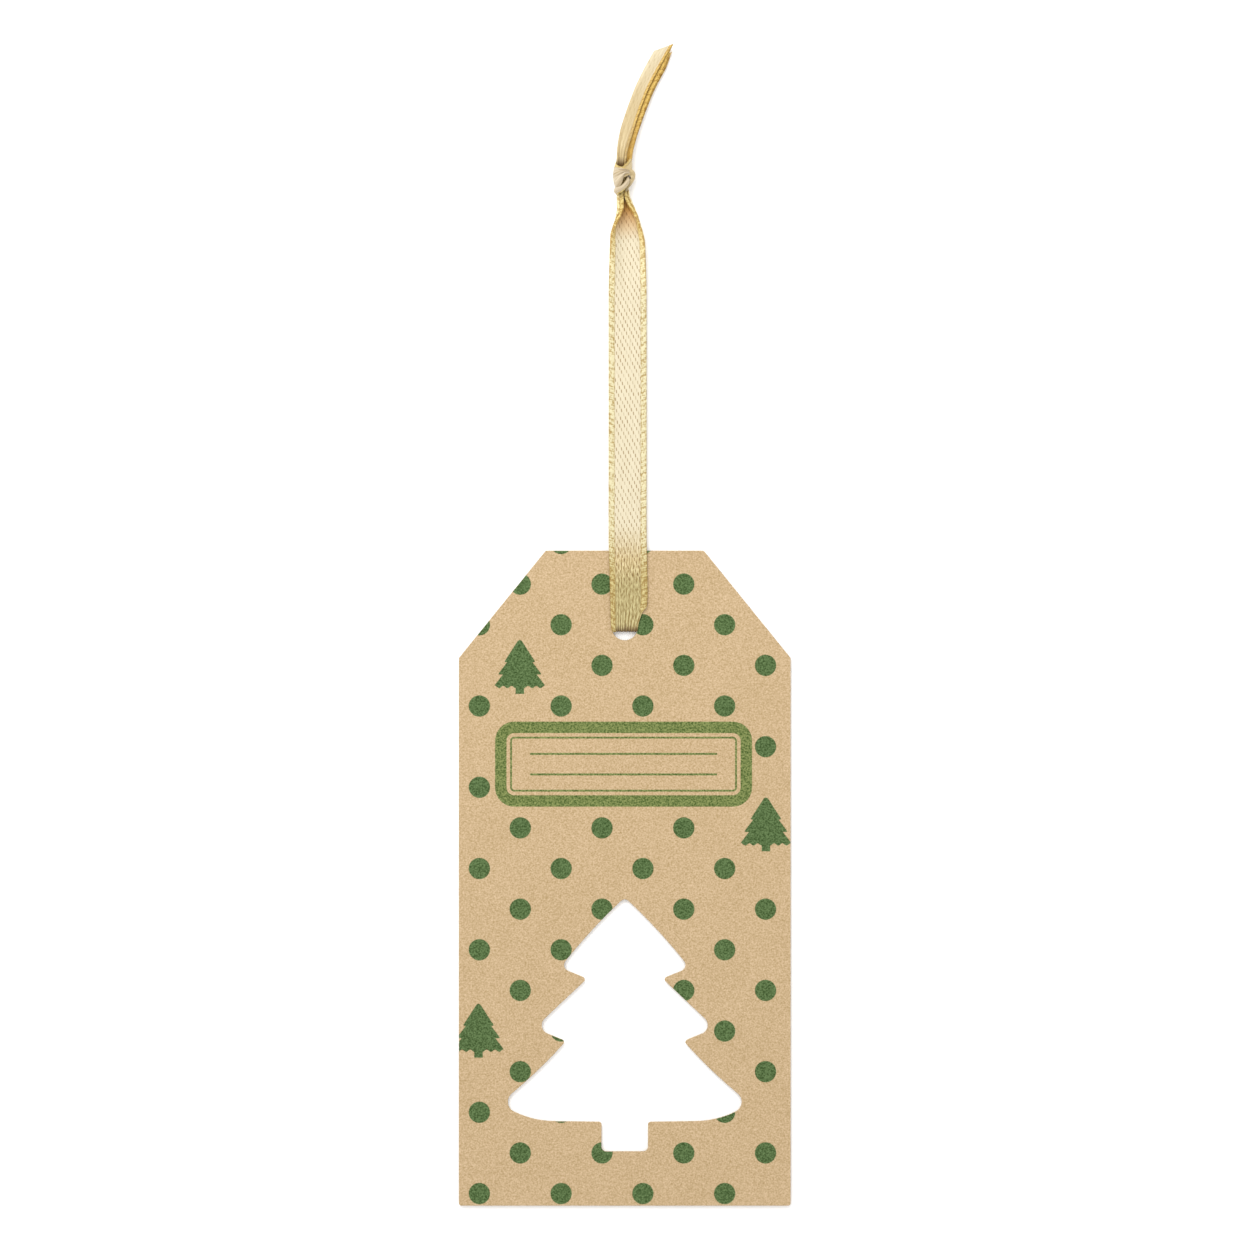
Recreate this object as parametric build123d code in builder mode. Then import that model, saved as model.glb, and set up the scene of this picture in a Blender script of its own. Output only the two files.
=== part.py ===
from build123d import *
from math import radians, tan
import os

# A kraft board gift tag lying face up on a table, with a narrow ribbon looped through its
# hole and tied in an overhand knot. X runs across the tag, Y along it towards the ribbon,
# and Z up from the table. The origin is on the table below the middle of the card.

# Card
card_width = 55.0
card_length = 108.6
card_thickness = 0.5
corner_cut_across = 14.4
corner_cut_down = 17.8
card_corner_radius = 0.4

# Round hole for the ribbon
hole_diameter = 4.3
hole_from_top = 12.7

# Fir tree window, corner to corner before rounding, with heights from the foot of the trunk
window_foot_margin = 9.0
trunk_width = 7.7
trunk_height = 4.9
lower_belly_width = 23.0
lower_belly_height = 5.0
lower_tip_width = 41.4
lower_tip_height = 8.0
lower_notch_width = 19.5
lower_notch_height = 18.3
middle_tip_width = 30.0
middle_tip_height = 20.4
upper_notch_width = 12.5
upper_notch_height = 28.65
upper_tip_width = 21.4
upper_tip_height = 30.45
apex_height = 42.1
lower_edge_hollow = 0.35
upper_edge_bulge = 0.33
trunk_corner_radius = 0.8
lower_tip_radius = 1.8
middle_tip_radius = 1.5
upper_tip_radius = 1.05
apex_radius = 0.9
notch_radius = 0.45

# Ribbon
ribbon_width = 6.3
ribbon_thickness = 0.25
ribbon_clearance = 0.1
ribbon_offset = 0.4
fold_width = 3.4
fold_drop = 0.8
flare_length = 5.0
leg_reach = 71.6
rise_reach = 46.0
neck_length = 11.0
neck_width = 2.0
leg_spread = 0.6

# Bends along the ribbon, measured from the hole
lift_reach = 30.0
twist_reach = 44.0
bend_clearance = 0.06

# Knot
knot_length = 6.4
knot_height = 3.5
knot_offset = -0.2
knot_foot_radius = 1.2
knot_top_radius = 1.1
knot_barrel_bulge = 0.3
wrap_radius = 0.5
wrap_tilt = 24.0
wrap_step_share = 0.16

# Two tails, each the ribbon folded in half lengthways
tail_width = 3.5
tail_clearance = 0.1
tail_gap = 0.3
tail_bend_across = 2.3
tail_bend_along = 9.2
tail_tip_across = 7.5
tail_tip_along = 19.6
tail_cut_across = 6.3
tail_cut_along = 16.7
tail_cut_angle = 36.0
tail_rest_clearance = 0.02

# Each arc takes this share of its shorter run
run_share = 0.45

os.makedirs("parts", exist_ok=True)


def arc_radii(points):
    """The largest arc that fits at each corner of a route."""
    places = [Vector(*point) for point in points]
    radii = []
    for before, corner, after in zip(places, places[1:], places[2:]):
        run_in = corner - before
        run_out = after - corner
        half_turn = radians(run_in.get_angle(run_out)) / 2
        shorter_run = min(run_in.length, run_out.length)
        radii.append(run_share * shorter_run / tan(half_turn))
    return radii


def save(part, name):
    """Names a finished piece and writes it to its own file."""
    part.label = name
    export_step(part, f"parts/{name}.step")


# Heights of the layers on the table: back leg, card, front leg
back_leg_z = ribbon_thickness / 2
card_z = ribbon_thickness + ribbon_clearance
front_leg_z = card_z + card_thickness + ribbon_clearance + ribbon_thickness / 2
fold_z = (back_leg_z + front_leg_z) / 2
fold_radius = (front_leg_z - back_leg_z) / 2
knot_z = knot_height / 2

# Places along the tag
hole_y = card_length / 2 - hole_from_top
fold_y = hole_y - fold_drop + ribbon_thickness / 2 + fold_radius
rise_y = hole_y + rise_reach
lift_y = hole_y + lift_reach
twist_y = hole_y + twist_reach
knot_foot_y = hole_y + leg_reach
knot_top_y = knot_foot_y + knot_length
tail_root_y = knot_top_y + tail_gap

# Card, with its hole and its tree window
card_side = card_width / 2
card_end = card_length / 2
top_edge_side = card_side - corner_cut_across
cut_end = card_end - corner_cut_down
trunk_foot = window_foot_margin - card_end
trunk_top = (trunk_width / 2, trunk_foot + trunk_height)
lower_belly = (lower_belly_width / 2, trunk_foot + lower_belly_height)
lower_tip = (lower_tip_width / 2, trunk_foot + lower_tip_height)
lower_notch = (lower_notch_width / 2, trunk_foot + lower_notch_height)
middle_tip = (middle_tip_width / 2, trunk_foot + middle_tip_height)
upper_notch = (upper_notch_width / 2, trunk_foot + upper_notch_height)
upper_tip = (upper_tip_width / 2, trunk_foot + upper_tip_height)
apex = (0, trunk_foot + apex_height)
window_rounding = (
    ((trunk_width / 2, trunk_foot), trunk_corner_radius),
    (trunk_top, notch_radius),
    (lower_tip, lower_tip_radius),
    (lower_notch, notch_radius),
    (middle_tip, middle_tip_radius),
    (upper_notch, notch_radius),
    (upper_tip, upper_tip_radius),
)

with BuildPart() as kraft_card:
    with BuildSketch(Plane.XY.offset(card_z)) as outline:
        with BuildLine():
            Polyline(
                (-card_side, -card_end),
                (card_side, -card_end),
                (card_side, cut_end),
                (top_edge_side, card_end),
                (-top_edge_side, card_end),
                (-card_side, cut_end),
                close=True,
            )
        make_face()
        fillet(outline.vertices(), card_corner_radius)
        with Locations((0, hole_y)):
            Circle(hole_diameter / 2, mode=Mode.SUBTRACT)
    extrude(amount=card_thickness)
    with BuildSketch(Plane.XY.offset(card_z)) as window:
        with BuildLine():
            SagittaArc(apex, upper_tip, upper_edge_bulge)
            Polyline(upper_tip, upper_notch, middle_tip, lower_notch)
            SagittaArc(lower_notch, lower_tip, -lower_edge_hollow)
            TangentArc(lower_belly, lower_tip, tangent=(1, 0))
            Polyline(lower_belly, trunk_top, (trunk_width / 2, trunk_foot), (0, trunk_foot))
            mirror(about=Plane.YZ)
        make_face()
        for (across, along), radius in window_rounding:
            for side in (-across, across):
                fillet(window.vertices().sort_by_distance((side, along, card_z))[0], radius)
        fillet(window.vertices().sort_by_distance((*apex, card_z))[0], apex_radius)
    extrude(amount=card_thickness, mode=Mode.SUBTRACT)
save(kraft_card.part, "kraft_card")

# Fold of the ribbon through the hole, gathered narrow enough to turn there
with BuildPart() as ribbon_fold:
    with BuildSketch(Plane.YZ.offset(-fold_width / 2)):
        with Locations((fold_y, fold_z)):
            Circle(fold_radius + ribbon_thickness / 2)
            Circle(fold_radius - ribbon_thickness / 2, mode=Mode.SUBTRACT)
            Rectangle(
                card_width,
                card_width,
                align=(Align.MAX, Align.CENTER),
                mode=Mode.INTERSECT,
            )
    extrude(amount=fold_width)
save(ribbon_fold.part, "ribbon_fold")

# Two legs from the fold to the knot, each in three stretches with a bend between them
ribbon_left = ribbon_offset - ribbon_width / 2
ribbon_right = ribbon_offset + ribbon_width / 2
flare_y = fold_y + flare_length
neck_y = knot_foot_y - neck_length
leg_outline = (
    (-fold_width / 2, fold_y),
    (fold_width / 2, fold_y),
    (ribbon_right, flare_y),
    (ribbon_right, neck_y),
    (knot_offset + neck_width / 2, knot_foot_y),
    (knot_offset - neck_width / 2, knot_foot_y),
    (ribbon_left, neck_y),
    (ribbon_left, flare_y),
)
leg_routes = {
    "front": (
        (fold_y, front_leg_z),
        (rise_y, front_leg_z),
        (knot_foot_y, knot_z + leg_spread / 2),
    ),
    "back": (
        (fold_y, back_leg_z),
        (rise_y, back_leg_z),
        (knot_foot_y, knot_z - leg_spread / 2),
    ),
}
lift_swing_radius = fold_radius + ribbon_thickness / 2
leg_stretches = {
    "lower": (fold_y, lift_y - bend_clearance),
    "middle": (lift_y + lift_swing_radius + bend_clearance, twist_y - bend_clearance),
    "upper": (twist_y + bend_clearance, knot_foot_y),
}

for side, route in leg_routes.items():
    radii = arc_radii(route)
    print(f"{side} leg: arc radii", [round(radius, 2) for radius in (fold_radius, *radii)])
    for stretch, (start_y, end_y) in leg_stretches.items():
        with BuildPart() as leg:
            with BuildLine(Plane.YZ.offset(ribbon_offset)):
                path = FilletPolyline(*route, radius=radii)
            with BuildSketch(Plane(path @ 0, x_dir=(1, 0, 0), z_dir=path % 0)):
                Rectangle(ribbon_width, ribbon_thickness)
            sweep(path=path)
            full_volume = leg.part.volume
            with BuildSketch(Plane.XY):
                with BuildLine():
                    Polyline(*leg_outline, close=True)
                make_face()
                with Locations((ribbon_offset, (start_y + end_y) / 2)):
                    Rectangle(card_width, end_y - start_y, mode=Mode.INTERSECT)
            extrude(amount=knot_height, mode=Mode.INTERSECT)
        save(leg.part, f"{side}_leg_{stretch}")
    ideal_volume = ribbon_width * ribbon_thickness * path.length
    print(f"{side} leg: swept volume {full_volume:.3f}, section times length {ideal_volume:.3f}")

# Knot: a barrel of turns with two slanting wraps over it
knot_centre_y = (knot_foot_y + knot_top_y) / 2
wrap_ring_radius = knot_height / 2 - wrap_radius
wrap_step = knot_length * wrap_step_share

with BuildPart() as knot:
    with BuildSketch(Plane.XY.offset(knot_z)):
        with BuildLine():
            foot = (knot_offset + knot_foot_radius, knot_foot_y)
            top = (knot_offset + knot_top_radius, knot_top_y)
            SagittaArc(foot, top, -knot_barrel_bulge)
            Polyline(top, (knot_offset, knot_top_y), (knot_offset, knot_foot_y), foot)
        make_face()
    revolve(axis=Axis((knot_offset, knot_foot_y, knot_z), (0, 1, 0)))
    for turn in (-1, 1):
        wrap_y = knot_centre_y + turn * wrap_step
        with Locations(Location((knot_offset, wrap_y, knot_z), (90, 0, turn * wrap_tilt))):
            Torus(wrap_ring_radius, wrap_radius)
save(knot.part, "knot")

# Two tails lying together, one on the other, sloping from the knot to the table
tail_thickness = 2 * ribbon_thickness
tail_drop = knot_z - tail_clearance / 2 - tail_thickness - tail_rest_clearance
tail_route = ((0, 0), (tail_bend_across, tail_bend_along), (tail_tip_across, tail_tip_along))
tail_radii = arc_radii(tail_route)
tail_plane = Plane(
    (knot_offset, tail_root_y, knot_z),
    x_dir=(1, 0, 0),
    z_dir=(0, tail_drop, tail_tip_along),
)
tail_offsets = {
    "front_tail": tail_clearance / 2,
    "back_tail": -tail_clearance / 2 - tail_thickness,
}
print("tails: arc radii", [round(radius, 2) for radius in tail_radii])

for name, offset_from_middle in tail_offsets.items():
    with BuildPart() as tail:
        with BuildSketch(tail_plane.offset(offset_from_middle)):
            with BuildLine():
                FilletPolyline(*tail_route, radius=tail_radii)
            trace(line_width=tail_width)
            with Locations((tail_cut_across, tail_cut_along)):
                Rectangle(
                    card_width,
                    card_width,
                    rotation=tail_cut_angle,
                    align=(Align.CENTER, Align.MIN),
                    mode=Mode.SUBTRACT,
                )
        extrude(amount=tail_thickness)
    save(tail.part, name)
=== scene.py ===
import math

import bmesh
import bpy
from bpy.props import FloatProperty, FloatVectorProperty, PointerProperty
from mathutils import Color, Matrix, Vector


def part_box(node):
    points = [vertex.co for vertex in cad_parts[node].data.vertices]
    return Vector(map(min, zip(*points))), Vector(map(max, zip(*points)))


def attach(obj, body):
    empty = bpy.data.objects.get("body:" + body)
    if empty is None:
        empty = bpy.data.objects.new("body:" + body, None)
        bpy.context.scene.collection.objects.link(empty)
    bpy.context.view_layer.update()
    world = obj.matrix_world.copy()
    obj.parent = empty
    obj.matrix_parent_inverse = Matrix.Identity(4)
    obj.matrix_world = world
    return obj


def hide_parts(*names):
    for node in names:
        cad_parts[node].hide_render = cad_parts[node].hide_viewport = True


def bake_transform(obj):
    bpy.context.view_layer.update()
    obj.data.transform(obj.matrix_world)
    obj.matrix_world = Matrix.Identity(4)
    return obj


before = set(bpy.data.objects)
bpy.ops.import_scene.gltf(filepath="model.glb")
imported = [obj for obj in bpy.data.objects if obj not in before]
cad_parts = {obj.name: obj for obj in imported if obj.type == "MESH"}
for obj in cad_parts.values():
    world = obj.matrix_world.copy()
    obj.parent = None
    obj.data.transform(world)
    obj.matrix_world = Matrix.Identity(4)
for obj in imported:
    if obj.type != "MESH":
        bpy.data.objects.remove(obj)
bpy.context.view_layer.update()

bl_info = {
    "name": "Gift Tag",
    "version": (1, 0, 0),
    "blender": (4, 5, 0),
    "location": "View3D > Sidebar > Gift Tag",
    "description": "Dresses a kraft board gift tag with its print and its knotted satin ribbon",
    "category": "Object",
}

# Shapes are in metres, and printed and woven patterns are in millimetres
MILLIMETRES = 1000.0

# Card mesh
MERGE_DISTANCE = 0.000001
FLAT_ANGLE = 0.01
RIM_ANGLE = 1.0
RIM_LEVEL = 0.0001
FACE_UP = 0.99

# Print: dots on two staggered lattices
FIRST_DOT = (-24.1, 1.6)
DOT_STAGGERS = (0.0, 0.5)
DOT_SOFT = 0.06
LINE_SOFT = 0.05

# Small fir trees: their places on the card, the room round them that has no dots, and one tree
# round its own middle, with each tier's top, foot, half width at both, and depth of its scallops
FIR_PLACES = ((-17.40, 35.0), (23.40, 8.9), (-24.25, -25.3))
FIR_ROOM = (4.9, 5.0)
FIR_TIERS = (
    (4.50, 0.80, 0.24, 2.62, 0.0),
    (1.10, -1.25, 1.90, 3.66, 0.0),
    (-0.90, -3.32, 2.55, 4.42, 0.18),
)
FIR_ROUND = 0.28
FIR_SIDE_SLANT = 0.84
SCALLOP_RATE = 4.6
TRUNK_HALF = 0.71
TRUNK_FOOT = -4.46
TRUNK_TOP = -2.0

# Name panel: its middle, corner round, frame lines as depth and half width, and two writing rules
PANEL_PLACE = (-0.2, 18.9)
PANEL_ROUND = 3.2
PANEL_LINES = ((0.95, 0.95), (2.65, 0.16))
PANEL_ROOM = (-0.2, -0.3)
RULE_OFFSET = 1.7
RULE_REACH = 15.5
RULE_HALF = 0.17

# Board and ink: how far each noise moves the tone, and the tints at the two ends of the tone
INK_WANDER = (-0.05, 0.05)
BOARD_SPECKLE = (-0.1, 1.1)
BOARD_FIBRES = (-0.18, 0.18)
BOARD_CLOUDS = (-0.05, 0.05)
BOARD_TINTS = ((0.52, 0.46, 0.20, 1.0), (1.48, 1.54, 1.80, 1.0))
BOARD_ROUGHNESS = (0.78, 0.95)
FIBRE_HEIGHT = 0.6
INK_SPECKLE = (-1.1, 2.1)
INK_FIBRES = (-0.5, 0.5)
INK_TINTS = ((0.24, 0.44, 0.12, 1.0), (1.76, 1.56, 1.88, 1.0))
INK_COVER = 0.97
PALE_INK_COVER = 0.96
INK_DEPTH = (0.03, 0.01)
CORE_DEPTH = (0.06, 0.11)
CORE_TINT = (1.08, 1.07, 1.05, 1.0)

# Weave: threads along the ribbon, and the short dark ticks of the cross threads, in leaning rows
# that shift by a share of a tick's step
THREAD_PITCH = 0.50
THREAD_MEAN = 0.667
TICK_PITCH = 0.83
ROW_PITCH = 0.637
ROW_SHIFT = 0.4
ROW_TILT = 0.07
TICK_LEAN = 0.1
TICK_WANDER = (-0.12, 0.12)
TICK_LENGTH = (0.50, 0.36)
TICK_WIDTH = (0.14, 0.02)
TICK_DARKNESS = (-0.6, 2.6)
THREAD_HEIGHT = 0.5
TICK_HEIGHT = 0.6

# Looped edges of the ribbon, each loop of three plies
EDGE_SOFT = 0.04
LOOP_SLANT = 0.55
LOOP_WANDER = (-1.0, 1.0)
LOOP_PLIES = 3.0
LOOP_TONE = 0.36
PLY_TONE = 0.40
FRAY_TONE = (-1.60, 3.20)
# Painted shade at the rim of the loops, where the rounded edge turns away
RIM_FADE = (0.20, 0.02)
RIM_SHADE = 0.7
GROOVE_FADE = (0.18, 0.04)
GROOVE_FRAY = (3.0, -1.6)

# Colour of the satin at places in millimetres from the fold, with painted shade at the fold, over the
# card, in the curl below the knot, in the knot's hollows and at the tails' root
RIBBON_SPAN = 150.0
RIBBON_PLACES = (
    (0.0, "crease_shade"),
    (0.4, "crease_shade"),
    (1.3, "shaded"),
    (8.0, "shaded"),
    (12.2, "half_shaded"),
    (18.0, "satin"),
    (65.0, "satin"),
    (70.5, "throat_shade"),
    (72.5, "crease_shade"),
    (79.0, "crease_shade"),
    (80.0, "wrapped"),
    (90.5, "wrapped"),
    (92.5, "tail"),
    (103.0, "tail"),
    (108.0, "crease_shade"),
    (111.2, "crease_shade"),
    (112.4, "tail"),
    (121.0, "tail"),
    (138.0, "satin"),
    (150.0, "satin"),
)
OUTSIDE_PLACE = 64.0

# Places from the fold between which a look comes in, or fades where the first is the larger
NEAR_FOLD = (5.0, 0.5)
FAINT_TICKS = (12.0, 7.0)
# Painted shade of the looped edges over the card
EDGE_SHADE_PLACES = (17.0, 8.5)
OVER_CARD = (19.0, 9.0)
# Painted light on the looped edges where they curl up below the knot
CURL_LIGHT_START = (54.0, 61.0)
CURL_LIGHT_END = (71.5, 69.5)
WARM_EDGES = (61.0, 68.0)
PAST_KNOT = (79.0, 80.0)
RICH_EDGES = (108.0, 111.0)
TAIL_ROOT = (111.0, 111.5)
TAIL_ROOT_END = (121.0, 114.0)
PLEATS_END = (121.0, 112.0)

# Strength of those looks, and their tints
# Near the fold the painted crease shade reaches up between the threads by this much
FOLD_FRINGE = (-1.6, 1.6)
STREAK_TONE = 0.28
CARD_STREAK_TONE = 0.80
CARD_THREAD_TONE = 0.4
FOLD_THREAD_TONE = 1.3
DASH_TONE = (-1.4, 1.4)
# Painted light and shade of the pleats past the knot and at the tails' root
KNOT_PLEAT_SHADING = 0.5
TAIL_PLEAT_SHADING = 0.9
FAINT_TICK_LOSS = 0.55
KNOT_TICK_LOSS = 0.8
TAIL_EDGE_LOSS = 0.7
# Painted shade that lowers the looped edges' tone over the card
CARD_EDGE_SHADE = 0.30
MIDDLE_TONE = 0.53
GROOVE_STRENGTH = 0.6
SATIN_ROUGHNESS = (0.42, 0.62)
TICK_TINT = (0.48, 0.38, 0.26, 1.0)
STREAK_TINTS = ((0.58, 0.47, 0.25, 1.0), (1.42, 1.53, 1.75, 1.0))
# Painted shade of the looped edges over the card
EDGE_SHADE_TINT = (0.82, 0.75, 0.51, 1.0)
# Painted light on the looped edges where they curl up below the knot
CURL_LIGHT_TINT = (1.17, 1.15, 1.11, 1.0)
WARM_TINT = (0.91, 0.79, 0.49, 1.0)
RICH_TINT = (1.02, 0.88, 0.58, 1.0)
DEEP_TINT = (0.54, 0.41, 0.21, 1.0)

# Ribbon mesh: columns across a strip, points on a line's stretch, and how the looped edge swells
STRIP_COLUMNS = 36
LINE_RESOLUTION = 256
BEAD_SHARE = 0.4
LIP_FADE = (-0.00012, 0.0002)
LOOP_SWELL = 0.28
CRISP_ANGLE = 60.0

# Line of the ribbon from the fold in the hole up into the knot: place across the tag and along it,
# then the heights of the front half and of the back half
LEG_ROUTE = (
    (0.0000, 0.040925, 0.000625, 0.000625),
    (0.0000, 0.040925, 0.001075, 0.000175),
    (0.0000, 0.0420, 0.001075, 0.000175),
    (0.00047, 0.0480, 0.001075, 0.000175),
    (0.00047, 0.0876, 0.001075, 0.000175),
    (0.00047, 0.1000, 0.00105, 0.00020),
    (0.00047, 0.1065, 0.00082, 0.00050),
    (0.00030, 0.1100, 0.00078, 0.00054),
    (-0.00010, 0.1120, 0.00085, 0.00061),
    (-0.00035, 0.1135, 0.00105, 0.00081),
    (-0.00025, 0.1185, 0.00125, 0.00101),
)

# Each half is made in two stretches, which meet at this place along the tag
SEAM_Y = 0.0795

# Edges of the ribbon where it is gathered into the hole: place along the tag, left and right edge
HOLE_EDGES = (
    (0.0409, -0.00199, 0.00196),
    (0.0410, -0.00204, 0.00199),
    (0.04118, -0.00224, 0.00212),
    (0.0424, -0.00233, 0.00230),
    (0.0436, -0.00236, 0.00266),
    (0.0442, -0.00238, 0.00290),
    (0.0447, -0.00239, 0.00322),
    (0.0450, -0.00240, 0.00352),
    (0.0454, -0.00240, 0.00370),
    (0.0470, -0.00243, 0.00380),
    (0.0515, -0.00255, 0.00372),
    (0.0560, -0.00268, 0.00362),
    (0.0600, -0.00268, 0.00362),
)

# Changes along the ribbon, each gained from one place along the tag to another: the share of the
# right side that is tucked under at the hole, then below the knot the degrees of the curl, its
# flare, gather and squash as shares, and the degrees by which it leans
HOLE_TUCK = (0.30, 0.0452, 0.0440)
NECK_CURL = ((90.0, 0.0940, 0.1050), (125.0, 0.1040, 0.1120), (140.0, 0.1060, 0.1140))
NECK_FLARE = (0.05, 0.1076, 0.1104)
NECK_GATHER = (0.62, 0.1095, 0.1165)
NECK_SQUASH = (0.35, 0.1040, 0.1100)
NECK_LEAN = (-10.0, 0.1050, 0.1100)
FLAT_ARC = 0.02

# Knot: its axis, and the turns of ribbon round it as degrees round, place along, reach, half width
KNOT_X = -0.00025
KNOT_Z = 0.00175
COLLAR_TURN = (
    (-235, 0.1168, 0.00120, 0.0012),
    (-205, 0.1166, 0.00150, 0.0021),
    (-170, 0.1164, 0.00162, 0.0025),
    (-135, 0.1164, 0.00168, 0.0026),
    (-100, 0.1164, 0.00170, 0.0027),
    (-65, 0.11645, 0.00172, 0.0025),
    (-38, 0.11665, 0.00172, 0.00205),
    (-12, 0.11695, 0.00168, 0.0013),
    (12, 0.11710, 0.00162, 0.0006),
    (38, 0.11700, 0.00150, 0.0003),
    (60, 0.1168, 0.00110, 0.0003),
)
SHOULDER_TURN = (
    (-30, 0.1166, 0.00115, 0.0008),
    (0, 0.1169, 0.00135, 0.0008),
    (25, 0.1172, 0.00142, 0.0009),
    (50, 0.1177, 0.00146, 0.0010),
    (80, 0.1182, 0.00148, 0.0011),
    (120, 0.1182, 0.00150, 0.0011),
    (160, 0.1178, 0.00150, 0.0011),
    (195, 0.1174, 0.00140, 0.0011),
)
ELBOW_TURN = (
    (20, 0.1174, 0.00130, 0.0004),
    (50, 0.1171, 0.00165, 0.0005),
    (80, 0.1168, 0.00200, 0.0006),
    (98, 0.1159, 0.00188, 0.0006),
    (88, 0.1151, 0.00140, 0.0004),
    (62, 0.1145, 0.00100, 0.0003),
    (30, 0.1139, 0.00075, 0.0003),
)
SLING_TURN = (
    (85, 0.1162, 0.00085, 0.00028),
    (56, 0.1158, 0.00125, 0.00030),
    (34, 0.1153, 0.00152, 0.00032),
    (10, 0.1146, 0.00167, 0.00036),
    (-14, 0.1141, 0.00172, 0.00050),
    (-45, 0.1139, 0.00168, 0.00070),
    (-90, 0.1139, 0.00160, 0.00070),
    (-135, 0.1141, 0.00155, 0.00070),
    (-185, 0.1146, 0.00150, 0.00070),
    (-225, 0.1150, 0.00130, 0.00060),
)

# Each turn's route, place of its start from the fold, crown as a share of its half width, and pleats
KNOT_TURNS = {
    "collar": (COLLAR_TURN, 0.081, 0.16, 3.0),
    "shoulder": (SHOULDER_TURN, 0.0935, 0.10, 0.0),
    "elbow": (ELBOW_TURN, 0.0995, 0.55, 0.0),
    "sling": (SLING_TURN, 0.086, 0.50, 0.0),
}
TURN_ROW_SHARE = 0.6
TURN_PLEAT_HEIGHT = 0.00018
TURN_LOWER_EDGE = 0.65

# Tails: lines from inside the knot to past the cut ends
FRONT_TAIL_ROUTE = (
    (-0.00030, 0.1180, 0.00195),
    (-0.00035, 0.1199, 0.00205),
    (0.00045, 0.1230, 0.00190),
    (0.00185, 0.1274, 0.00165),
    (0.00395, 0.1328, 0.00135),
    (0.00775, 0.1392, 0.00105),
)
BACK_TAIL_ROUTE = (
    (-0.00030, 0.1180, 0.00145),
    (-0.00030, 0.1199, 0.00145),
    (0.00055, 0.1230, 0.00130),
    (0.00205, 0.1274, 0.00105),
    (0.00425, 0.1328, 0.00075),
    (0.00810, 0.1392, 0.00045),
)

# Each tail's route, body, point on its cut, slant of the cut in degrees, and reach of its upper lip
TAILS = {
    "front": (FRONT_TAIL_ROUTE, "front_end", (0.00500, 0.13715), 20.5, 0.00070),
    "back": (BACK_TAIL_ROUTE, "back_end", (0.00700, 0.13660), 24.0, 0.00095),
}
TAIL_START = 0.111
TAIL_UP = (0.0, 0.06, 1.0)
CUT_TOLERANCE = 0.0000001

# Folded section of a tail: its fold, its reach to the left and right, its pleats at the knot, how
# far from there it opens, how it narrows to the tip, and how its pattern gathers on each side
TAIL_FOLD_RADIUS = 0.00016
TAIL_LEFT = 0.00125
TAIL_RIGHT = 0.00140
TAIL_PLEAT_HEIGHT = 0.00012
TAIL_PLEAT_STEP = 0.0006
TAIL_OPENING = (0.001, 0.0062)
TAIL_CLOSED_SHARE = 0.68
TAIL_TAPER = (0.45, 0.1345, 0.1385)
UPPER_PATTERN_POWER = 2.2
LOWER_PATTERN_POWER = 1.3

# Stage
LAMP_PLACE = (-0.12, 0.30, 0.33)
LAMP_SIZE = 0.28
TABLE_RADIUS = 6.0
WHITE = (1.0, 1.0, 1.0, 1.0)


def paint(red, green, blue, light=1.6):
    """Linear base colour that shows as this 8-bit colour where the light has this strength."""
    shown = Color((red / 255, green / 255, blue / 255)).from_srgb_to_scene_linear()
    return (*(shown / light), 1.0)


def length(name, description, default):
    """A length setting, in metres."""
    return FloatProperty(
        name=name, description=description, default=default, unit="LENGTH", subtype="DISTANCE", precision=5
    )


def colour(name, description, default):
    """A colour setting."""
    return FloatVectorProperty(
        name=name, description=description, default=default, size=4, min=0.0, max=1.0, subtype="COLOR"
    )


def brightness(name, description, default):
    """A setting of a light's strength."""
    return FloatProperty(name=name, description=description, default=default, min=0.0)


class GiftTagCardSettings(bpy.types.PropertyGroup):
    """Sizes and colours of the printed card"""

    edge_round: length("Edge round", "Rounding of the die-cut edges", 0.00006)
    dot_diameter: length("Dot", "Diameter of a printed dot", 0.00354)
    dot_step_across: length("Dot step across", "Step of the dots across the card", 0.013554)
    dot_step_along: length("Dot step along", "Step of the dots along the card", 0.013471)
    panel_width: length("Panel width", "Width of the printed name panel", 0.0426)
    panel_height: length("Panel height", "Height of the printed name panel", 0.0141)
    board: colour("Board", "Colour of the kraft board", paint(218, 188, 145))
    ink: colour("Ink", "Green of the dots and the fir trees", paint(82, 113, 62))
    pale_ink: colour("Pale ink", "Lighter green of the name panel", paint(116, 134, 70))


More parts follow.
